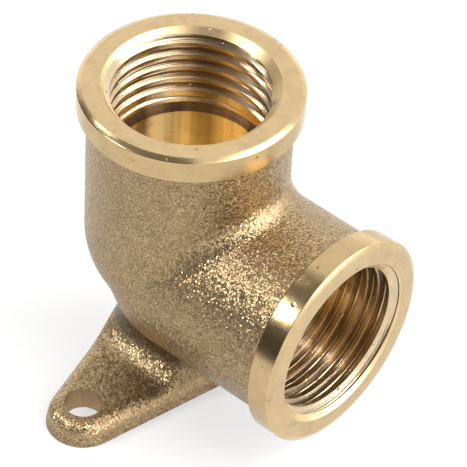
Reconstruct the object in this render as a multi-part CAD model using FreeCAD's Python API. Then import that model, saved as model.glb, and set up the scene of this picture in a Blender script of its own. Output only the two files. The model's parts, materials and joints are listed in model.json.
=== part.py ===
import FreeCAD, Part
import math
import os

Vector = FreeCAD.Vector

# Driving dimensions, in millimetres.
# The origin is on the wall face of the plate, straight under the outlet. The outlet points up +Z,
# the inlet points along +X and the two screw ears lie along -Y and +Y.
centre_to_face = 25.0       # crossing of the two bores to either socket face
inlet_height = 17.0         # wall face to the inlet's axis
thread_major = 20.955       # outer diameter of the half-inch pipe thread
thread_pitch = 1.814        # one turn of that thread
thread_length = 10.9        # socket face to the last turn
barrel_wall = 1.72          # cast wall left outside the thread
collar_rise = 1.2           # turned collar above the cast barrel
collar_length = 3.4
collar_bevel_width = 0.7    # bevel round the socket face, measured along the face
collar_bevel_depth = 0.35   # and measured down the collar
collar_heel_bevel = 0.2     # broken edge at the foot of the collar
heel_offset = 3.6           # how far each barrel's round end stops short of the crossing
throat_radius = 2.2         # hollow fillet in the inner corner of the bend
flank_radius = 4.5          # the same fillet where it dies out on the flanks
plate_thickness = 3.1
plate_draft = 9.0           # degrees that the plate's sides lean in, for casting
screw_pitch = 36.4          # between the centres of the two screw holes
screw_hole = 4.6
ear_offset = 0.5            # screw holes from the outlet's axis, towards the inlet
ear_radius = 4.5            # round end of an ear, about its hole
plate_middle_radius = 8.8   # plate under the bend, which the ears run into
pedestal_half_width = 7.3   # pedestal between plate and bend, across the ears
pedestal_back = 6.9         # how far it reaches behind the outlet's axis
pedestal_corner = 5.0
root_fillet = 3.2           # hollow fillet from an ear up to the pedestal
plate_edge_round = 1.8      # soft upper edge of the cast plate

# Clearances and depths that follow from the thread.
mouth_clearance = 0.12      # mouth of the countersink outside the thread
bore_step = 0.55            # waterway bore inside the thread's crests
runout_length = 1.1         # cone from the last turn down to the waterway bore
thread_height = 0.511       # root to crest for a pitch of one, with crests cut back from the full 0.64

# Sizes worked out from those above.
thread_minor_radius = thread_major / 2 - thread_height * thread_pitch
mouth_radius = thread_major / 2 + mouth_clearance
waterway_radius = thread_minor_radius - bore_step
barrel_radius = thread_major / 2 + barrel_wall
collar_radius = barrel_radius + collar_rise
outlet_top = inlet_height + centre_to_face
pedestal_top = inlet_height - barrel_radius / 4
crossing = Vector(0, 0, inlet_height)
mitre_normal = Vector(1, 0, -1)
block_size = 8 * centre_to_face
surface_tolerance = 1e-4


def turned(points):
    """Solid of revolution about Z from (radius, height) points."""
    corners = [Vector(radius, 0, height) for radius, height in points]
    profile = Part.Face(Part.makePolygon(corners + corners[:1]))
    return profile.revolve(Vector(0, 0, 0), Vector(0, 0, 1), 360)


def is_near(value, target):
    return abs(value - target) < surface_tolerance


def is_upright(edge):
    return edge.BoundBox.XLength < surface_tolerance and edge.BoundBox.YLength < surface_tolerance


def lowest(shape):
    return min(vertex.Z for vertex in shape.Vertexes)


def for_inlet(shape):
    """The same feature on the inlet: the outlet's one mirrored in the mitre plane."""
    return shape.mirror(crossing, mitre_normal)


def outlet_half():
    """Outlet barrel with a ball end, cut off at the mitre plane between the two barrels."""
    ball_centre = Vector(0, 0, inlet_height + heel_offset)
    ball = Part.makeSphere(barrel_radius, ball_centre)
    tube = Part.makeCylinder(barrel_radius, outlet_top - collar_length - ball_centre.z, ball_centre)
    outlet_side = Part.makeBox(block_size, block_size, block_size, Vector(-block_size / 2, -block_size / 2, 0))
    outlet_side.rotate(Vector(0, 0, 0), Vector(0, 1, 0), -45)
    outlet_side.translate(crossing)
    return ball.fuse(tube).common(outlet_side)


def on_mitre_plane(edge):
    """True for an edge of the seam where the two barrels meet."""
    samples = edge.discretize(5)
    return all(is_near(point.z - point.x, inlet_height) for point in samples)


def seam_radius(point):
    """Fillet radius at a point of the seam: tight in the throat, wide from the flanks on."""
    share = (barrel_radius - point.x) / (barrel_radius - heel_offset)
    return throat_radius + (flank_radius - throat_radius) * min(max(share, 0.0), 1.0)


def bend():
    """Both barrels in one casting, their seam filled by a fillet that widens from throat to flank."""
    half = outlet_half()
    joined = half.fuse(for_inlet(half)).removeSplitter().Solids[0]
    document = FreeCAD.newDocument("bend")
    barrels = document.addObject("Part::Feature", "barrels")
    barrels.Shape = joined
    filleted = document.addObject("Part::Fillet", "seam_fillet")
    filleted.Base = barrels
    seam = []
    for number, edge in enumerate(barrels.Shape.Edges, start=1):
        if on_mitre_plane(edge):
            start_radius = seam_radius(edge.valueAt(edge.FirstParameter))
            end_radius = seam_radius(edge.valueAt(edge.LastParameter))
            seam.append((number, start_radius, end_radius))
    filleted.Edges = seam
    document.recompute()
    return filleted.Shape.copy()


def collar():
    """Turned collar round the outlet, with a bevelled face and a broken edge at its foot."""
    foot = outlet_top - collar_length
    return turned([
        (0, foot),
        (collar_radius - collar_heel_bevel, foot),
        (collar_radius, foot + collar_heel_bevel),
        (collar_radius, outlet_top - collar_bevel_depth),
        (collar_radius - collar_bevel_width, outlet_top),
        (0, outlet_top),
    ])


def socket_bore():
    """Countersink, tapping bore, run-out cone and waterway of the outlet, down to the crossing."""
    countersink_end = outlet_top - (mouth_radius - thread_minor_radius)
    thread_end = outlet_top - thread_length
    bore = turned([
        (0, outlet_top),
        (mouth_radius, outlet_top),
        (thread_minor_radius, countersink_end),
        (thread_minor_radius, thread_end),
        (waterway_radius, thread_end - runout_length),
        (waterway_radius, inlet_height),
        (0, inlet_height),
    ])
    return bore


def waterway():
    """Both socket bores, joined by a ball at the crossing."""
    bore = socket_bore()
    corner = Part.makeSphere(waterway_radius, crossing)
    return bore.fuse([for_inlet(bore), corner])


def plate_outline(inset, height):
    """Two-hole plate outline, a round middle with ears drawn out to the screws, drawn in by an inset."""
    reach = screw_pitch / 2
    middle = plate_middle_radius - inset
    ear = ear_radius - inset
    lean = math.asin((middle - ear) / math.hypot(ear_offset, reach))
    tilt = math.atan2(ear_offset, reach)

    def on_middle(angle):
        return Vector(middle * math.cos(angle), middle * math.sin(angle), height)

    def on_ear(angle, end):
        return Vector(ear_offset + ear * math.cos(angle), end * (reach + ear * math.sin(angle)), height)

    front = lean - tilt
    back = math.pi - lean - tilt
    tip = math.pi / 2 - tilt
    edges = [
        Part.Arc(on_middle(-front), on_middle(0), on_middle(front)).toShape(),
        Part.makeLine(on_middle(front), on_ear(front, 1)),
        Part.Arc(on_ear(front, 1), on_ear(tip, 1), on_ear(back, 1)).toShape(),
        Part.makeLine(on_ear(back, 1), on_middle(back)),
        Part.Arc(on_middle(back), on_middle(math.pi), on_middle(-back)).toShape(),
        Part.makeLine(on_middle(-back), on_ear(back, -1)),
        Part.Arc(on_ear(back, -1), on_ear(tip, -1), on_ear(front, -1)).toShape(),
        Part.makeLine(on_ear(front, -1), on_middle(-front)),
    ]
    return Part.Wire(edges)


def plate_prism():
    """Everything above the plate's outline, leaning in by the casting draft."""
    inset = pedestal_top * math.tan(math.radians(plate_draft))
    return Part.makeLoft([plate_outline(0, 0), plate_outline(inset, pedestal_top)], True, True)


def pedestal_block():
    """Wide slab with the pedestal standing on it, and the hollow fillet round its root."""
    slab = Part.makeBox(block_size, block_size, plate_thickness, Vector(-block_size / 2, -block_size / 2, 0))
    pedestal = Part.makeBox(
        block_size / 2 + pedestal_back, 2 * pedestal_half_width, pedestal_top,
        Vector(-pedestal_back, -pedestal_half_width, 0))
    back_corners = [edge for edge in pedestal.Edges
                    if all(vertex.X < 0 for vertex in edge.Vertexes) and is_upright(edge)]
    pedestal = pedestal.makeFillet(pedestal_corner, back_corners)
    block = slab.fuse(pedestal).removeSplitter()
    reach = pedestal_half_width + surface_tolerance
    root = [edge for edge in block.Edges
            if all(is_near(vertex.Z, plate_thickness) and abs(vertex.Y) < reach for vertex in edge.Vertexes)]
    return block.makeFillet(root_fillet, root)


def plate_rim(casting):
    """Upper edges of the plate's leaning sides, from one side of the pedestal round both ears to the other."""
    rim = []
    for edge in casting.Edges:
        neighbours = casting.ancestorsOfType(edge, Part.Face)
        sides = [face for face in neighbours if is_near(lowest(face), 0)]
        if len(sides) == 1 and lowest(edge) < pedestal_top - surface_tolerance:
            rim.append(edge)
    return rim


def foot():
    """Cast plate with ears, rising through the root fillets to the pedestal under the bend."""
    sharp = pedestal_block().common(plate_prism()).removeSplitter().Solids[0]
    return sharp.makeFillet(plate_edge_round, plate_rim(sharp))


def screw_holes():
    """One drill for each ear."""
    drills = []
    for end in (-1, 1):
        centre = Vector(ear_offset, end * screw_pitch / 2, -plate_thickness)
        drills.append(Part.makeCylinder(screw_hole / 2, 3 * plate_thickness, centre))
    return drills


def elbow_body():
    """The whole casting with its turned collars, bores and screw holes."""
    outlet_collar = collar()
    casting = bend().fuse([outlet_collar, for_inlet(outlet_collar), foot()])
    machined = casting.cut([waterway()] + screw_holes())
    return machined.removeSplitter()


os.makedirs("parts", exist_ok=True)
body = elbow_body()
solid = body.Solids[0]
print("elbow_body", len(body.Solids), "solid", round(solid.Volume), "mm3", "valid" if solid.isValid() else "bad")
solid.exportStep("parts/elbow_body.step")
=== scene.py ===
# %% [markdown]
# # The looks of a wall plate elbow
#
# A wall plate elbow brings a water pipe out of a wall. It is one brass casting: two threaded sockets at
# a right angle, on a small plate with two ears for screws. The foundry leaves the casting matt and
# grainy. A lathe then faces each socket, turns its collar and cuts a thread in its bore.
#
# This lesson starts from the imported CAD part, cuts the two threads, gives each surface the finish that
# its last tool left on it, and lights the part like a photograph in a catalogue.

# %% Load the part
import json
import math

import bmesh
import bpy
from mathutils import Matrix, Vector


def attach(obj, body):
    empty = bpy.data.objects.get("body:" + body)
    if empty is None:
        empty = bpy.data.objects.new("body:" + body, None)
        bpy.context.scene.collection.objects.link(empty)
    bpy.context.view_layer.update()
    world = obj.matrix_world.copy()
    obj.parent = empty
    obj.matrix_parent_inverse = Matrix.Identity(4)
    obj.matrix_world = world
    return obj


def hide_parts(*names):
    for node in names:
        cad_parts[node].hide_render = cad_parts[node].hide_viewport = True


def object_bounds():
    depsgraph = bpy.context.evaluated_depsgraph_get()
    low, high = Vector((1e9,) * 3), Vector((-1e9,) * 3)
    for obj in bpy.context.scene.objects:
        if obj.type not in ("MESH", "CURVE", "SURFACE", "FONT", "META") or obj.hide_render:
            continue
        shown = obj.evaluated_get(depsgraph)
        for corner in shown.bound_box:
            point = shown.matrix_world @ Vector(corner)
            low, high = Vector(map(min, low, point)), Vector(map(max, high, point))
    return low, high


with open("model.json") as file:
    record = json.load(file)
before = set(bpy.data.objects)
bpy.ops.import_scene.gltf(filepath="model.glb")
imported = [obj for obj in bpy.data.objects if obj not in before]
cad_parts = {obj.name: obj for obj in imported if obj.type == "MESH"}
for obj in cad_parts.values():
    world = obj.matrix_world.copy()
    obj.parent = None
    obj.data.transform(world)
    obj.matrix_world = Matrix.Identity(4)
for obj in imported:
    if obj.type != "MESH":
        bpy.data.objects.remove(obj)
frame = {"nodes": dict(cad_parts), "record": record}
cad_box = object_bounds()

mm = 0.001
part_size = Vector(cad_box[1]) - Vector(cad_box[0])
print("the part measures", [round(side / mm, 2) for side in part_size], "mm")

# %% [markdown]
# ## Sizes
#
# The frame is in metres. The CAD part already knows where its sockets are, so the places come from its
# box and from its mounts. The thread is the common half inch pipe thread: 14 turns to the inch, with
# flanks that meet at 55 degrees and rounded roots. Past its last full turn it runs out, over a short cone
# that leads down to the bore.

# %% Sizes from the part
mounts = {mount["name"]: mount for mount in frame["record"]["mounts"]}
outlet_top = cad_box[1][2]
inlet_end = cad_box[1][0]
inlet_height = mounts["inlet_thread"]["pos_m"][2]
bore_radius = mounts["outlet_thread"]["dims"]["r_mm"] * mm
crest_length = mounts["outlet_thread"]["dims"]["length_mm"] * mm
hole_radius = mounts["screw_holes"]["dims"]["hole_r_mm"] * mm
hole_pitch = mounts["screw_holes"]["dims"]["spacing_y_mm"] * mm
hole_line = mounts["screw_holes"]["pos_m"][0]
collar_length = 3.4 * mm
plate_thickness = 3.1 * mm

outlet_place = Matrix.Translation((0, 0, outlet_top))
inlet_place = Matrix.Translation((inlet_end, 0, inlet_height)) @ Matrix.Rotation(math.radians(90), 4, "Y")
print("the inlet's axis lies", round(inlet_height / mm, 2), "mm above the wall")

# %% Sizes of the thread
thread_diameter = 20.955 * mm
thread_pitch = 1.814 * mm
thread_half_angle = math.radians(27.5)
rounding_share = 0.137329  # of the pitch, as this kind of thread has it
mouth_clearance = 0.12 * mm
thread_overrun = 0.7 * mm
runout_length = 1.1 * mm

root_radius = thread_diameter / 2
thread_depth = root_radius - bore_radius
thread_rounding = rounding_share * thread_pitch
mouth_radius = root_radius + mouth_clearance
full_thread = mouth_radius - bore_radius + crest_length  # the countersink is as deep as it is wide
thread_length = full_thread + thread_overrun
runout_end = full_thread + runout_length
print("thread roots lie on a diameter of", round(2 * root_radius / mm, 3), "mm")

# %% [markdown]
# ## Helpers for nodes
#
# Materials and Geometry Nodes are both trees of nodes. One helper adds a node, sets its options and fills
# its inputs, either with a value or with a link. Another turns a colour as seen on a screen into the
# linear light that the renderer works with, and the last starts an empty material.

# %% Helpers for nodes and colours
def add_node(tree, kind, inputs=None, **settings):
    node = tree.nodes.new(kind)
    for name, value in settings.items():
        setattr(node, name, value)
    for name, value in (inputs or {}).items():
        if isinstance(value, bpy.types.NodeSocket):
            tree.links.new(value, node.inputs[name])
        else:
            node.inputs[name].default_value = value
    return node


def linear_colour(code):
    channels = [int(code[start:start + 2], 16) / 255 for start in (1, 3, 5)]
    linear = [c / 12.92 if c <= 0.04045 else ((c + 0.055) / 1.055) ** 2.4 for c in channels]
    return (*linear, 1.0)


def new_material(name):
    material = bpy.data.materials.new(name)
    material.use_nodes = True
    material.node_tree.nodes.clear()
    return material


print("the helper's grey", [round(channel, 3) for channel in linear_colour("#808080")[:3]])

# %% [markdown]
# ## Cast brass
#
# The skin of the casting was blasted with grit. Close up it is a field of tiny facets, each leaning its
# own way, so it sparkles and never mirrors its surroundings. A bump could only draw soft dimples, so
# each cell of a pattern leans as one flat facet: its random colour tilts the normal, and the same colour
# says how dark the grain is. A wider swell keeps the light from lying evenly, and broad patches are
# browner.
#
# The hollow between the plate and the bend is painted darker, as painted shade. The round edge of the
# plate is painted a little brighter than the flat beside it, as a painted highlight. Both follow the height
# above the wall, so one function makes them: a band of height, with soft ends, in which the metal is
# darker or brighter.

# %% Leaning grains
grain_size = 0.17 * mm  # the real grit leaves about 0.1 mm, which is too fine to show
grain_lean = 0.50
grain_upright = (0.5, 0.5, 0.5)  # the random colour whose facet doesn't lean
grain_dark = 0.42
grain_bright = 1.55
swell_size = 0.9 * mm
swell_height = 0.12 * mm


def leaning_grains(tree, place):
    swell = add_node(tree, "ShaderNodeTexNoise", {"Vector": place, "Scale": 1 / swell_size, "Detail": 3.0})
    swell_bump = add_node(
        tree, "ShaderNodeBump",
        {"Height": swell.outputs["Fac"], "Distance": swell_height, "Strength": 1.0})
    grains = add_node(tree, "ShaderNodeTexVoronoi", {"Vector": place, "Scale": 1 / grain_size})
    lean = add_node(
        tree, "ShaderNodeVectorMath",
        {0: grains.outputs["Color"], 1: grain_upright}, operation="SUBTRACT")
    leaning = add_node(
        tree, "ShaderNodeVectorMath",
        {0: lean.outputs["Vector"], 1: (grain_lean, grain_lean, grain_lean), 2: swell_bump.outputs["Normal"]},
        operation="MULTIPLY_ADD")
    facet = add_node(tree, "ShaderNodeVectorMath", {0: leaning.outputs["Vector"]}, operation="NORMALIZE")
    grain_tone = add_node(
        tree, "ShaderNodeMapRange",
        {"Value": grains.outputs["Color"], "To Min": grain_dark, "To Max": grain_bright})
    return facet.outputs["Vector"], grain_tone.outputs["Result"]


print("grains in a millimetre:", round(mm / grain_size, 1))

# %% Painted shade in the hollow and a painted highlight on the rim
# Painted shade: between these heights above the wall, in the hollow between plate and bend, the casting's
# colour is darkened to 0.42.
hollow_painted_shade = {"start": 4.3 * mm, "full": 5.6 * mm, "fade": 8.0 * mm, "end": 12.5 * mm, "brightness": 0.42}
# Painted highlight: over the plate's round rim the casting's colour is brightened 1.3 times.
rim_painted_highlight = {
    "start": 0.8 * mm, "full": 1.8 * mm, "fade": 2.5 * mm, "end": plate_thickness, "brightness": 1.3}


def height_band(tree, height, start, full, fade, end, brightness):
    risen = add_node(
        tree, "ShaderNodeMapRange",
        {"Value": height, "From Min": start, "From Max": full}, interpolation_type="SMOOTHSTEP")
    within = add_node(
        tree, "ShaderNodeMapRange",
        {"Value": height, "From Min": fade, "From Max": end,
         "To Min": risen.outputs["Result"], "To Max": 0.0},
        interpolation_type="SMOOTHSTEP")
    changed = add_node(
        tree, "ShaderNodeMapRange",
        {"Value": within.outputs["Result"], "To Min": 1.0, "To Max": brightness})
    return changed.outputs["Result"]


# the printed band is where the painted shade in the hollow lies, in mm above the wall
print("scale lies", [round(hollow_painted_shade[limit] / mm, 1) for limit in ("start", "end")], "mm above the wall")

# %% Cast brass
patch_size = 7.0 * mm
cast_roughness = 0.37


def cast_brass():
    # Blasted casting brass: sandy gold, broken into sparks, with painted shade in the hollow between plate
    # and bend and a painted highlight on the plate's rim.
    material = new_material("cast_brass")
    tree = material.node_tree
    place = add_node(tree, "ShaderNodeTexCoord").outputs["Object"]
    height = add_node(tree, "ShaderNodeSeparateXYZ", {"Vector": place}).outputs["Z"]
    facet, grain_tone = leaning_grains(tree, place)
    patches = add_node(tree, "ShaderNodeTexNoise", {"Vector": place, "Scale": 1 / patch_size, "Detail": 3.0})
    tone = add_node(
        tree, "ShaderNodeMix",
        {"Factor": patches.outputs["Fac"], "A": linear_colour("#A9926E"), "B": linear_colour("#937C5D")},
        data_type="RGBA")
    painted_shade_and_highlight = add_node(
        tree, "ShaderNodeMath",
        {0: height_band(tree, height, **rim_painted_highlight), 1: height_band(tree, height, **hollow_painted_shade)},
        operation="MULTIPLY")
    brightness = add_node(
        tree, "ShaderNodeMath", {0: grain_tone, 1: painted_shade_and_highlight.outputs["Value"]}, operation="MULTIPLY")
    tone_with_painted_light = add_node(
        tree, "ShaderNodeVectorMath",
        {0: tone.outputs["Result"], "Scale": brightness.outputs["Value"]}, operation="SCALE")
    surface = add_node(
        tree, "ShaderNodeBsdfPrincipled",
        {"Base Color": tone_with_painted_light.outputs["Vector"], "Metallic": 1.0, "Roughness": cast_roughness, "Normal": facet})
    add_node(tree, "ShaderNodeOutputMaterial", {"Surface": surface.outputs["BSDF"]})
    return material


cast = cast_brass()
print(cast.name, "has", len(cast.node_tree.nodes), "nodes")

# %% [markdown]
# ## Turned brass
#
# A lathe leaves fine rings about the axis of the socket. On a face they are circles, and on a collar they
# run round it, so the height of a mark depends only on the distance from the axis and the distance
# along it. The two are added into one number, which a noise of one dimension reads. The rings also smear
# a reflection across themselves, so the shader is anisotropic, with a tangent that runs round the axis.
#
# Such fittings travel loose in a box and knock against each other. That leaves shallow bruises, faint
# stains and small nicks that hold dirt, which a clean shader would lack. Inside a bore, dark streaks run
# along the wall as a painted reflection: a noise that reads only the direction round the axis darkens
# the colour in bands.

# %% Rings from the lathe
along_weight = 1.3  # with a weight of one, the sum would not change along a bevel of 45 degrees


def lathe_rings(tree, place, from_middle, mark_pitch, mark_height):
    local = add_node(
        tree, "ShaderNodeVectorRotate",
        {"Vector": from_middle, "Rotation": place.to_euler()}, rotation_type="EULER_XYZ", invert=True)
    across = add_node(
        tree, "ShaderNodeVectorMath",
        {0: local.outputs["Vector"], 1: (1.0, 1.0, 0.0)}, operation="MULTIPLY")
    radius = add_node(tree, "ShaderNodeVectorMath", {0: across.outputs["Vector"]}, operation="LENGTH")
    along = add_node(tree, "ShaderNodeSeparateXYZ", {"Vector": local.outputs["Vector"]})
    travel = add_node(
        tree, "ShaderNodeMath",
        {0: along.outputs["Z"], 1: along_weight, 2: radius.outputs["Value"]}, operation="MULTIPLY_ADD")
    marks = add_node(
        tree, "ShaderNodeTexNoise",
        {"W": travel.outputs["Value"], "Scale": 1 / mark_pitch, "Detail": 2.0}, noise_dimensions="1D")
    rings = add_node(
        tree, "ShaderNodeBump", {"Height": marks.outputs["Fac"], "Distance": mark_height, "Strength": 1.0})
    return rings.outputs["Normal"]


print("a step along the axis counts", along_weight, "times a step out from it")

# %% Knocks from other fittings
bruise_size = 3.0 * mm
bruise_height = 0.06 * mm
bruise_strength = 0.5
nick_spacing = 1.6 * mm
nick_radius = 0.42 * mm
nick_share = 0.75
nick_height = 0.05 * mm
no_nick = 0.001  # not nought, because a nick's edge has to lie outside its middle


def knocks(tree, coordinates, normal):
    bruises = add_node(
        tree, "ShaderNodeTexNoise", {"Vector": coordinates, "Scale": 1 / bruise_size, "Detail": 2.0})
    bruised = add_node(
        tree, "ShaderNodeBump",
        {"Height": bruises.outputs["Fac"], "Distance": bruise_height, "Strength": bruise_strength,
         "Normal": normal})
    blows = add_node(tree, "ShaderNodeTexVoronoi", {"Vector": coordinates, "Scale": 1 / nick_spacing})
    nick_edge = add_node(
        tree, "ShaderNodeMapRange",
        {"Value": blows.outputs["Color"], "From Min": 1 - nick_share, "From Max": 1.0,
         "To Min": no_nick, "To Max": nick_radius / nick_spacing})
    unhurt = add_node(
        tree, "ShaderNodeMapRange",
        {"Value": blows.outputs["Distance"], "From Max": nick_edge.outputs["Result"]},
        interpolation_type="SMOOTHSTEP")
    nicked = add_node(
        tree, "ShaderNodeBump",
        {"Height": unhurt.outputs["Result"], "Distance": nick_height, "Strength": 1.0,
         "Normal": bruised.outputs["Normal"]})
    return nicked.outputs["Normal"], unhurt.outputs["Result"]


print("the largest nick is", round(2 * nick_radius / mm, 2), "mm wide")

# %% Stains and painted reflection streaks
stain_size = 2.2 * mm
stain_start = 0.42
stain_full = 0.75
stain_dark = 0.82
nick_dirt = 0.45
reflection_streak_width = 2.5 * mm
reflection_streak_full = 0.36
reflection_streak_end = 0.54
reflection_streak_dark = 0.5


def stained_tone(tree, coordinates, colour, unhurt):
    stains = add_node(
        tree, "ShaderNodeTexNoise",
        {"Vector": coordinates, "Scale": 1 / stain_size, "Detail": 5.0, "Roughness": 0.65})
    stained = add_node(
        tree, "ShaderNodeMapRange",
        {"Value": stains.outputs["Fac"], "From Min": stain_start, "From Max": stain_full,
         "To Min": 1.0, "To Max": stain_dark})
    dirt = add_node(tree, "ShaderNodeMapRange", {"Value": unhurt, "To Min": nick_dirt, "To Max": 1.0})
    clean = add_node(
        tree, "ShaderNodeMath",
        {0: stained.outputs["Result"], 1: dirt.outputs["Result"]}, operation="MULTIPLY")
    tone = add_node(
        tree, "ShaderNodeVectorMath",
        {0: linear_colour(colour)[:3], "Scale": clean.outputs["Value"]}, operation="SCALE")
    return tone.outputs["Vector"]


# Painted reflection: dark bands down a bore's wall stand in for the room mirrored along the grooves.
def painted_reflection_streaks(tree, around, tone):
    direction = add_node(tree, "ShaderNodeVectorMath", {0: around}, operation="NORMALIZE")
    streaks = add_node(
        tree, "ShaderNodeTexNoise",
        {"Vector": direction.outputs["Vector"], "Scale": bore_radius / reflection_streak_width, "Detail": 2.0})
    shade = add_node(
        tree, "ShaderNodeMapRange",
        {"Value": streaks.outputs["Fac"], "From Min": reflection_streak_full, "From Max": reflection_streak_end,
         "To Min": reflection_streak_dark, "To Max": 1.0})
    streaked = add_node(
        tree, "ShaderNodeVectorMath", {0: tone, "Scale": shade.outputs["Result"]}, operation="SCALE")
    return streaked.outputs["Vector"]


print("a stain keeps", stain_dark, "of the light, and a streak", reflection_streak_dark)

# %% Turned brass
across_tangent = 0.25  # a quarter turn, because the shader smears along its tangent
fine_feed = 0.12 * mm
coarse_feed = 0.3 * mm


def turned_brass(name, place, colour, roughness, smear, mark_pitch, mark_height, has_painted_streaks=False):
    material = new_material(name)
    tree = material.node_tree
    coordinates = add_node(tree, "ShaderNodeTexCoord").outputs["Object"]
    moved = add_node(
        tree, "ShaderNodeVectorMath", {0: coordinates, 1: place.translation}, operation="SUBTRACT")
    from_middle = moved.outputs["Vector"]
    rings = lathe_rings(tree, place, from_middle, mark_pitch, mark_height)
    normal, unhurt = knocks(tree, coordinates, rings)
    axis = place.to_3x3() @ Vector((0, 0, 1))
    around = add_node(
        tree, "ShaderNodeVectorMath", {0: from_middle, 1: axis}, operation="CROSS_PRODUCT")
    tone = stained_tone(tree, coordinates, colour, unhurt)
    if has_painted_streaks:
        tone = painted_reflection_streaks(tree, around.outputs["Vector"], tone)
    surface = add_node(
        tree, "ShaderNodeBsdfPrincipled",
        {"Base Color": tone, "Metallic": 1.0,
         "Roughness": roughness, "Anisotropic": smear, "Anisotropic Rotation": across_tangent,
         "Tangent": around.outputs["Vector"], "Normal": normal})
    add_node(tree, "ShaderNodeOutputMaterial", {"Surface": surface.outputs["BSDF"]})
    return material


# Brass from a twist drill: plain and dull, with no direction in its gloss, and painted a little darker than
# the faced brass, as painted shade inside the hole.
hole_place = Matrix.Translation((hole_line, hole_pitch / 2, 0))
drilled = turned_brass(
    "drilled_brass", hole_place, colour="#B79A78", roughness=0.5, smear=0.0,
    mark_pitch=coarse_feed, mark_height=0.01 * mm)
print(drilled.name, "has", len(drilled.node_tree.nodes), "nodes")

# %% [markdown]
# ## One finish for each tool
#
# All the turned surfaces are the same brass, so one function could serve with one tone. Yet each tool
# leaves its own gloss, and light is lost in a deep bore, so the eye sees six tones in a socket. Some of
# them are painted light and shade: the collar is painted a little darker than the face, the countersink
# and the bore paler, and the run-out dark brown. They share the function above, and only its numbers differ.

# %% The finishes of both sockets
def socket_finishes(side, place):
    return {
        # A finishing cut over the face: pale and bright, with soft mirror images of the room.
        "face": turned_brass(
            f"faced_brass_{side}", place, colour="#C9AF83", roughness=0.21, smear=0.4,
            mark_pitch=fine_feed, mark_height=0.006 * mm),
        # The same cut along the collar: as bright, and painted a little deeper in tone, as painted shade.
        "collar": turned_brass(
            f"turned_brass_{side}", place, colour="#BEA478", roughness=0.21, smear=0.4,
            mark_pitch=fine_feed, mark_height=0.006 * mm),
        # A countersink chatters: its cone is dull, and painted pale as painted light.
        "mouth": turned_brass(
            f"countersunk_brass_{side}", place, colour="#DFC596", roughness=0.42, smear=0.4,
            mark_pitch=fine_feed, mark_height=0.012 * mm),
        # A thread tool: grey gold, with fine lines along the turns.
        "thread": turned_brass(
            f"threaded_brass_{side}", place, colour="#D0BB9B", roughness=0.20, smear=0.4,
            mark_pitch=coarse_feed, mark_height=0.03 * mm),
        # The rubbed cone where the thread tool runs out: painted dark brown as painted shade, with painted
        # reflection streaks.
        "runout": turned_brass(
            f"runout_brass_{side}", place, colour="#8F7458", roughness=0.35, smear=0.4,
            mark_pitch=coarse_feed, mark_height=0.03 * mm, has_painted_streaks=True),
        # A bore sees mostly itself: its gold is painted pale as painted light, with painted reflection
        # streaks down the wall.
        "bore": turned_brass(
            f"bored_brass_{side}", place, colour="#FADFA3", roughness=0.30, smear=0.85,
            mark_pitch=coarse_feed, mark_height=0.03 * mm, has_painted_streaks=True),
    }


outlet_reach = outlet_top - inlet_height
sockets = [
    {"place": outlet_place, "reach": outlet_reach, "finish": socket_finishes("outlet", outlet_place)},
    {"place": inlet_place, "reach": inlet_end, "finish": socket_finishes("inlet", inlet_place)},
]
finishes = [cast, drilled]
for socket in sockets:
    finishes.extend(socket["finish"].values())
print("finishes:", [material.name for material in finishes])

# %% [markdown]
# ## A tap for the thread
#
# On the lathe one pointed tool follows a screw line down the bore. Rings or a bump would do for a glance,
# but one looks right into these sockets, so the grooves are real. The same path makes the cutter here:
# a spiral curve carries the outline of the tool. The outline is a trapezoid with 55 degree flanks, and
# only its two outer corners are rounded. Near the end of the cut the tool is drawn back towards the axis,
# so the groove runs out instead of stopping at a wall. Geometry Nodes keeps all of that as a few inputs.

# %% The sizes of the tap
tool_clearance = 0.17 * mm
lead_in_turns = 0.6
runout_turns = 0.7
draw_back = 1.25  # in depths of the thread, so that the tool is clear of the wall where it stops

tool_inner_radius = bore_radius - tool_clearance
tool_height = root_radius - tool_inner_radius
tool_tip_width = 2 * thread_rounding * math.tan(math.radians(45) - thread_half_angle / 2)
tool_base_width = tool_tip_width + 2 * tool_height * math.tan(thread_half_angle)
tool_path_radius = (root_radius + tool_inner_radius) / 2
tap_inputs = {
    "Pitch": thread_pitch,
    "Turns": thread_length / thread_pitch + lead_in_turns,
    "Path Radius": tool_path_radius,
    "Tool Height": tool_height,
    "Tip Width": tool_tip_width,
    "Base Width": tool_base_width,
    "Rounding": thread_rounding,
    "Runout Turns": runout_turns,
    "Drawn Back": 1 - draw_back * thread_depth / tool_path_radius,
}
print("the tool is", round(tool_base_width / mm, 2), "mm wide at its base")

# %% The path of the tool
points_in_turn = 96


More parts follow.
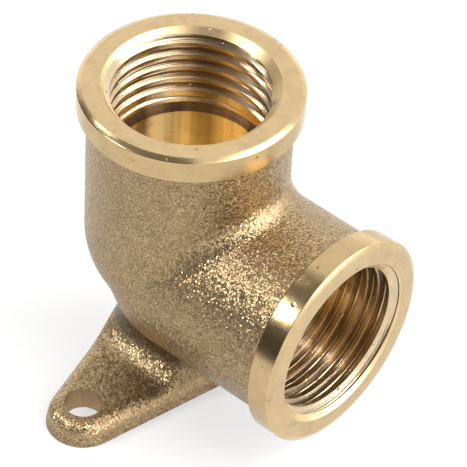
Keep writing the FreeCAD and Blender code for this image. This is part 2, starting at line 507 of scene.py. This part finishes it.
def tool_path(tree, given):
    height = add_node(
        tree, "ShaderNodeMath", {0: given["Turns"], 1: given["Pitch"]}, operation="MULTIPLY")
    path = add_node(
        tree, "GeometryNodeCurveSpiral",
        {"Resolution": points_in_turn, "Rotations": given["Turns"], "Start Radius": given["Path Radius"],
         "End Radius": given["Path Radius"], "Height": height.outputs["Value"], "Reverse": True})
    walked = add_node(tree, "GeometryNodeSplineParameter").outputs["Factor"]
    turns_done = add_node(tree, "ShaderNodeMath", {0: walked, 1: given["Turns"]}, operation="MULTIPLY")
    spread = add_node(
        tree, "ShaderNodeMapRange",
        {"Value": turns_done.outputs["Value"], "From Min": 0.0, "From Max": given["Runout Turns"],
         "To Min": given["Drawn Back"], "To Max": 1.0})
    scale = add_node(
        tree, "ShaderNodeCombineXYZ",
        {"X": spread.outputs["Result"], "Y": spread.outputs["Result"], "Z": 1.0})
    place = add_node(tree, "GeometryNodeInputPosition").outputs["Position"]
    drawn = add_node(
        tree, "ShaderNodeVectorMath", {0: place, 1: scale.outputs["Vector"]}, operation="MULTIPLY")
    tapered = add_node(
        tree, "GeometryNodeSetPosition",
        {"Geometry": path.outputs["Curve"], "Position": drawn.outputs["Vector"]})
    steady = add_node(
        tree, "GeometryNodeSetCurveNormal", {"Curve": tapered.outputs["Geometry"]}, mode="Z_UP")
    return steady.outputs["Curve"]


print("the path has", points_in_turn, "points in a turn")

# %% The outline of the tool
corner_points = 4


def tool_outline(tree, given):
    blank = add_node(
        tree, "GeometryNodeCurvePrimitiveQuadrilateral",
        {"Bottom Width": given["Base Width"], "Top Width": given["Tip Width"], "Height": given["Tool Height"],
         "Offset": 0.0}, mode="TRAPEZOID")
    corner = add_node(tree, "GeometryNodeInputPosition").outputs["Position"]
    side = add_node(tree, "ShaderNodeSeparateXYZ", {"Vector": corner})
    is_tip = add_node(tree, "ShaderNodeMath", {0: side.outputs["Y"], 1: 0.0}, operation="GREATER_THAN")
    tip_rounding = add_node(
        tree, "ShaderNodeMath", {0: is_tip.outputs["Value"], 1: given["Rounding"]}, operation="MULTIPLY")
    rounded = add_node(
        tree, "GeometryNodeFilletCurve",
        {"Curve": blank.outputs["Curve"], "Count": corner_points, "Radius": tip_rounding.outputs["Value"],
         "Limit Radius": True}, mode="POLY")
    pointed_out = add_node(
        tree, "GeometryNodeTransform",
        {"Geometry": rounded.outputs["Curve"], "Rotation": (0.0, 0.0, math.radians(-90))})
    return pointed_out.outputs["Geometry"]


print("a corner is rounded to", round(thread_rounding / mm, 3), "mm with", corner_points, "added points")

# %% The tap as a node tree
def tap_tree():
    tree = bpy.data.node_groups.new("thread_tap", "GeometryNodeTree")
    for name, value in tap_inputs.items():
        socket = tree.interface.new_socket(name=name, in_out="INPUT", socket_type="NodeSocketFloat")
        socket.default_value = value
    tree.interface.new_socket(name="Finish", in_out="INPUT", socket_type="NodeSocketMaterial")
    tree.interface.new_socket(name="Tap", in_out="OUTPUT", socket_type="NodeSocketGeometry")
    given = add_node(tree, "NodeGroupInput").outputs
    swept = add_node(
        tree, "GeometryNodeCurveToMesh",
        {"Curve": tool_path(tree, given), "Profile Curve": tool_outline(tree, given), "Fill Caps": True})
    real = add_node(tree, "GeometryNodeRealizeInstances", {"Geometry": swept.outputs["Mesh"]})
    painted = add_node(
        tree, "GeometryNodeSetMaterial", {"Geometry": real.outputs["Geometry"], "Material": given["Finish"]})
    add_node(tree, "NodeGroupOutput", {"Tap": painted.outputs["Geometry"]})
    return tree


thread_tap = tap_tree()
print("the tap makes", round(tap_inputs["Turns"], 2), "turns")

# %% [markdown]
# ## Cutting the threads
#
# One tap serves both sockets. It is turned and moved, never mirrored, because both threads must be right
# handed. A small turn about its own axis chooses where the first crest starts at the face. The part's own
# mesh stays as it is: a copy with merged corners is cut, because a cut needs a closed skin. The cut leaves
# a few needle-thin facets, which are dissolved.

# %% A tap at each socket
outlet_start = math.radians(40)
inlet_start = math.radians(200)


def evaluated_mesh(owner, name):
    graph = bpy.context.evaluated_depsgraph_get()
    mesh = bpy.data.meshes.new_from_object(owner.evaluated_get(graph))
    mesh.name = name
    return mesh


def tap_for(name, place, start, material):
    tap = bpy.data.objects.new(name, bpy.data.meshes.new(name))
    bpy.context.scene.collection.objects.link(tap)
    nodes = tap.modifiers.new("tap", "NODES")
    nodes.node_group = thread_tap
    for item in thread_tap.interface.items_tree:
        if item.in_out == "INPUT" and item.name in tap_inputs:
            nodes[item.identifier] = tap_inputs[item.name]
        elif item.in_out == "INPUT":
            nodes[item.identifier] = material
    tap.data = evaluated_mesh(tap, name)
    tap.modifiers.clear()
    sunk = Matrix.Translation((0, 0, -thread_length + thread_pitch / 2))
    tap.data.transform(place @ Matrix.Rotation(start, 4, "Z") @ sunk)
    return tap


taps = []
for socket, start in zip(sockets, (outlet_start, inlet_start)):
    taps.append(tap_for("thread_tap", socket["place"], start, socket["finish"]["thread"]))
print("faces of each tap:", [len(tap.data.polygons) for tap in taps])

# %% Cut both threads
merge_distance = 0.0005 * mm


def merged_copy(node, name):
    corners = [vertex.co for vertex in node.data.vertices]
    facets = [tuple(face.vertices) for face in node.data.polygons]
    mesh = bpy.data.meshes.new(name)
    mesh.from_pydata(corners, [], facets)
    shape = bmesh.new()
    shape.from_mesh(mesh)
    bmesh.ops.remove_doubles(shape, verts=shape.verts, dist=merge_distance)
    bmesh.ops.recalc_face_normals(shape, faces=shape.faces)
    shape.to_mesh(mesh)
    shape.free()
    copy = bpy.data.objects.new(name, mesh)
    bpy.context.scene.collection.objects.link(copy)
    return copy


def cut_with(piece, tap):
    cut = piece.modifiers.new("cut", "BOOLEAN")
    cut.operation = "DIFFERENCE"
    cut.solver = "EXACT"
    cut.object = tap
    mesh = evaluated_mesh(piece, piece.name)
    piece.modifiers.clear()
    piece.data = mesh
    bpy.data.objects.remove(tap)


def clear_slivers(piece):
    shape = bmesh.new()
    shape.from_mesh(piece.data)
    bmesh.ops.dissolve_degenerate(shape, dist=merge_distance, edges=shape.edges)
    shape.to_mesh(piece.data)
    shape.free()


elbow = merged_copy(frame["nodes"]["elbow_body"], "brass_elbow")
for tap in taps:
    cut_with(elbow, tap)
clear_slivers(elbow)
print("the threaded elbow has", len(elbow.data.polygons), "faces")

# %% [markdown]
# ## Soft rims
#
# The bevel round each face has two edges. A knock or a polish takes the sharpness off them, and a rounded
# edge mirrors the whole room from ceiling to floor in one thin line. A Bevel modifier would round the
# crests of the threads too, so these edges are picked by their place. The facets beside the bevel are
# joined to four-sided ones first, so that the rounding keeps one width all the way round.

# %% Round the edges of the bevels
rim_depth = 0.45 * mm
rim_margin = 0.45 * mm
rim_round = 0.09 * mm
rim_steps = 4
rim_turn = math.radians(20)
flat_turn = math.radians(5)
any_shape = math.pi
plain_arc = 0.5


def is_at_rim(vertex):
    for socket in sockets:
        local = socket["place"].inverted() @ vertex.co
        if -local.z < rim_depth and math.hypot(local.x, local.y) > mouth_radius + rim_margin:
            return True
    return False


def soften_rims(piece):
    shape = bmesh.new()
    shape.from_mesh(piece.data)
    rim = {vertex for vertex in shape.verts if is_at_rim(vertex)}
    beside = [face for face in shape.faces if rim.intersection(face.verts)]
    bmesh.ops.join_triangles(
        shape, faces=beside, angle_face_threshold=flat_turn, angle_shape_threshold=any_shape)
    edges = [edge for edge in shape.edges if rim.issuperset(edge.verts) and edge.calc_face_angle() > rim_turn]
    bmesh.ops.bevel(
        shape, geom=edges, offset=rim_round, offset_type="OFFSET", segments=rim_steps, profile=plain_arc,
        affect="EDGES", clamp_overlap=True, loop_slide=True, material=-1)
    shape.to_mesh(piece.data)
    shape.free()
    return len(edges)


print("edges rounded:", soften_rims(elbow))

# %% [markdown]
# ## A finish for each surface
#
# The last tool to touch a surface decides its finish. The cone at a socket's mouth was countersunk, the
# ring about it was faced together with its bevel, and the collar behind that was turned. The bore was
# threaded down to the cone of its run-out and only bored below that. The two screw holes were drilled,
# and the rest is still the skin of the casting. It is all one piece of brass, so it stays one mesh with
# several materials, and each of its faces is sorted by where its middle lies.

# %% Find the last tool at a point
slack = 0.05 * mm


def socket_finish_at(socket, point):
    local = socket["place"].inverted() @ point
    from_axis = math.hypot(local.x, local.y)
    depth = -local.z
    if abs(from_axis + depth - mouth_radius) < slack and depth < thread_depth:
        return socket["finish"]["mouth"]
    if depth < rim_depth and from_axis > mouth_radius - slack:
        return socket["finish"]["face"]
    if depth < collar_length + slack and from_axis > mouth_radius - slack:
        return socket["finish"]["collar"]
    if from_axis < bore_radius and full_thread + slack < depth < runout_end + slack:
        return socket["finish"]["runout"]
    if from_axis < root_radius + slack and depth < runout_end + slack:
        return socket["finish"]["thread"]
    if from_axis < bore_radius and depth < socket["reach"]:
        return socket["finish"]["bore"]
    return None


def finish_at(point):
    for socket in sockets:
        found = socket_finish_at(socket, point)
        if found:
            return found
    if math.dist(point, (0, 0, inlet_height)) < bore_radius:
        return sockets[0]["finish"]["bore"]
    for end in (-1, 1):
        if math.hypot(point.x - hole_line, point.y - end * hole_pitch / 2) < hole_radius + slack:
            return drilled
    return cast


print("the middle of the bend is", finish_at(Vector((0, 0, inlet_height))).name)

# %% Sort the faces by their last tool
def share_out_finishes(piece):
    piece.data.materials.clear()
    for material in finishes:
        piece.data.materials.append(material)
    counts = dict.fromkeys([material.name for material in finishes], 0)
    for face in piece.data.polygons:
        chosen = finish_at(face.center)
        face.material_index = finishes.index(chosen)
        counts[chosen.name] += 1
    return counts


print("faces by finish:", share_out_finishes(elbow))

# %% [markdown]
# ## Smooth shading with crisp edges
#
# The mesh is flat facets. Their shading is blended, except across edges that turn by more than a fillet's
# facets do: the rims of the collars, the bevels and the crests of the threads stay crisp. The skin must
# still be closed after the cuts, so its open edges are counted.

# %% Smooth the facets
crisp_angle = math.radians(22)
elbow.data.shade_smooth()
elbow.data.set_sharp_from_angle(angle=crisp_angle)
closed = bmesh.new()
closed.from_mesh(elbow.data)
open_edges = sum(1 for edge in closed.edges if not edge.is_manifold)
volume = closed.calc_volume(signed=True) / mm ** 3
print("open edges:", open_edges, "volume:", round(volume, 1), "cubic mm")
closed.free()

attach(elbow, "root")
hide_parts("elbow_body")

# %% [markdown]
# ## Floor
#
# The floor is white paper that lies just under the part. It also glows a little, to the camera and in
# mirror images alike, so that it comes out white and keeps only the shadow. Far out at the front left the
# paper's colour and glow are painted dark, as painted shade. The picture does not reach that far, but the
# bright collars mirror it, and their dark bands are what makes them look like metal.

# %% Paper
front_left = Vector((-0.454, -0.891, 0.0))
light_fades = 0.10
light_ends = 0.32
paper_painted_dark = 0.16


def seen_or_mirrored(tree):
    rays = add_node(tree, "ShaderNodeLightPath").outputs
    seen = add_node(
        tree, "ShaderNodeMath", {0: rays["Is Camera Ray"], 1: rays["Is Glossy Ray"]}, operation="ADD")
    also_through = add_node(
        tree, "ShaderNodeMath", {0: seen.outputs["Value"], 1: rays["Is Transmission Ray"]}, operation="ADD")
    return also_through.outputs["Value"]


def paper():
    # White paper: flat and shadowless but for the soft shadow at the part's foot, and painted dark far out at
    # the front left, as painted shade.
    material = new_material("white_paper")
    tree = material.node_tree
    place = add_node(tree, "ShaderNodeTexCoord").outputs["Object"]
    ahead = add_node(tree, "ShaderNodeVectorMath", {0: place, 1: front_left}, operation="DOT_PRODUCT")
    # Painted shade: past this distance towards the front left, the paper's colour and glow are scaled down.
    painted_light_share = add_node(
        tree, "ShaderNodeMapRange",
        {"Value": ahead.outputs["Value"], "From Min": light_fades, "From Max": light_ends,
         "To Min": 1.0, "To Max": paper_painted_dark}, interpolation_type="SMOOTHSTEP")
    shade = add_node(
        tree, "ShaderNodeVectorMath",
        {0: linear_colour("#A0A0A0")[:3], "Scale": painted_light_share.outputs["Result"]}, operation="SCALE")
    matt = add_node(tree, "ShaderNodeBsdfDiffuse", {"Color": shade.outputs["Vector"]})
    strength = add_node(
        tree, "ShaderNodeMath", {0: seen_or_mirrored(tree), 1: painted_light_share.outputs["Result"]}, operation="MULTIPLY")
    glow = add_node(
        tree, "ShaderNodeEmission",
        {"Color": linear_colour("#C9C9C9"), "Strength": strength.outputs["Value"]})
    both = add_node(tree, "ShaderNodeAddShader", {0: matt.outputs["BSDF"], 1: glow.outputs["Emission"]})
    add_node(tree, "ShaderNodeOutputMaterial", {"Surface": both.outputs["Shader"]})
    return material


white_paper = paper()
print(white_paper.name, "has", len(white_paper.node_tree.nodes), "nodes")

# %% Floor
floor_size = 3.0
floor_gap = 0.05 * mm


def flat_floor():
    half = floor_size / 2
    corners = [(x, y, -floor_gap) for x, y in ((-half, -half), (half, -half), (half, half), (-half, half))]
    mesh = bpy.data.meshes.new("floor")
    mesh.from_pydata(corners, [], [(0, 1, 2, 3)])
    mesh.materials.append(white_paper)
    floor = bpy.data.objects.new("floor", mesh)
    bpy.context.scene.collection.objects.link(floor)
    return floor


flat_floor()
print("the floor is", floor_size, "m wide")

# %% [markdown]
# ## Lamps
#
# Metal shows what surrounds it, so the light is built as things to be mirrored. A large soft window at
# the right lights the throat of the bend. A small one at the front left makes the white band on the
# inlet's collar and the sparks on the casting beside it. A narrow pane, higher up on the left, catches
# the bevel of the outlet.

# %% Lamps
part_middle = (Vector(cad_box[0]) + Vector(cad_box[1])) / 2
lamp_distance = 0.7


def softbox(name, direction, width, height, watts):
    lamp = bpy.data.lights.new(name, "AREA")
    lamp.shape = "RECTANGLE"
    lamp.size = width
    lamp.size_y = height
    lamp.energy = watts
    box = bpy.data.objects.new(name, lamp)
    towards = Vector(direction).normalized()
    turn = towards.to_track_quat("Z", "Y").to_matrix().to_4x4()
    box.matrix_world = Matrix.Translation(part_middle + towards * lamp_distance) @ turn
    bpy.context.scene.collection.objects.link(box)
    return box


lamps = [
    softbox("right_window", direction=(0.70, 0.38, 0.62), width=0.75, height=0.85, watts=8.5),
    softbox("left_window", direction=(-0.46, -0.615, 0.64), width=0.20, height=0.15, watts=2.7),
    softbox("left_pane", direction=(-0.61, -0.11, 0.785), width=0.06, height=0.13, watts=0.30),
]
print("lamps:", [lamp.name for lamp in lamps])

# %% [markdown]
# ## Room
#
# The walls behind the part and at its right are pale, brightest near the floor. The room at the front
# left is dim, with a slightly lighter ceiling. The change from pale to dim lies over the part, where the
# bevel and the top of the inlet's collar mirror it as a soft edge. A picture of a room could do the same,
# but a few ramps over the direction of sight are easier to move.

# %% Room
dim_front = 0.10
front_ceiling = 0.24
ceiling_starts = 0.55
ceiling_full = 0.90
pale_wall = 1.28
white_wall = 1.9
white_ends = 0.45
right_share = 1.0
dim_ends = -0.07
pale_starts = 0.19


def wall_brightness(tree, heading):
    pale = add_node(
        tree, "ShaderNodeMapRange",
        {"Value": heading["Z"], "From Min": 0.0, "From Max": white_ends,
         "To Min": white_wall, "To Max": pale_wall})
    dim = add_node(
        tree, "ShaderNodeMapRange",
        {"Value": heading["Z"], "From Min": ceiling_starts, "From Max": ceiling_full,
         "To Min": dim_front, "To Max": front_ceiling})
    to_right = add_node(tree, "ShaderNodeMath", {0: heading["X"], 1: 0.0}, operation="MAXIMUM")
    from_front = add_node(
        tree, "ShaderNodeMath",
        {0: to_right.outputs["Value"], 1: right_share, 2: heading["Y"]}, operation="MULTIPLY_ADD")
    mixed = add_node(
        tree, "ShaderNodeMapRange",
        {"Value": from_front.outputs["Value"], "From Min": dim_ends, "From Max": pale_starts,
         "To Min": dim.outputs["Result"], "To Max": pale.outputs["Result"]}, interpolation_type="SMOOTHSTEP")
    return mixed.outputs["Result"]


def studio_room():
    room = bpy.data.worlds.new("room")
    room.use_nodes = True
    tree = room.node_tree
    tree.nodes.clear()
    looking = add_node(tree, "ShaderNodeTexCoord").outputs["Generated"]
    heading = add_node(tree, "ShaderNodeSeparateXYZ", {"Vector": looking}).outputs
    walls = add_node(
        tree, "ShaderNodeBackground",
        {"Color": linear_colour("#FFFFFF"), "Strength": wall_brightness(tree, heading)})
    add_node(tree, "ShaderNodeOutputWorld", {"Surface": walls.outputs["Background"]})
    return room


bpy.context.scene.world = studio_room()
bpy.context.scene.view_settings.view_transform = "Standard"
print("room:", bpy.context.scene.world.name)

# %% [markdown]
# ## Camera
#
# The part is seen from above its front right side through a long lens, as in most catalogues: nearly
# parallel lines keep the two sockets looking equally large. A camera can be aimed with a constraint, but
# this one also rolls a little, so its three axes are worked out from its turn, rise and roll.

# %% Camera
camera_turn = math.radians(39.387)
camera_rise = math.radians(43.051)
camera_roll = math.radians(3.083)
camera_distance = 428.395 * mm
aim = Vector((7.223, 0.262, 22.868)) * mm
lens_length = 278.98
sensor_width = 36.0


def aimed_camera():
    backwards = Vector((
        math.sin(camera_turn) * math.cos(camera_rise),
        -math.cos(camera_turn) * math.cos(camera_rise),
        math.sin(camera_rise)))
    level_right = Vector((math.cos(camera_turn), math.sin(camera_turn), 0))
    level_up = backwards.cross(level_right)
    right = level_right * math.cos(camera_roll) + level_up * math.sin(camera_roll)
    up = backwards.cross(right)
    data = bpy.data.cameras.new("camera")
    data.lens = lens_length
    data.sensor_width = sensor_width
    camera = bpy.data.objects.new("camera", data)
    axes = Matrix((right, up, backwards)).transposed().to_4x4()
    camera.matrix_world = Matrix.Translation(aim + backwards * camera_distance) @ axes
    bpy.context.scene.collection.objects.link(camera)
    return camera


bpy.context.scene.camera = aimed_camera()
print("the camera stands", round(camera_distance / mm), "mm from its aim")
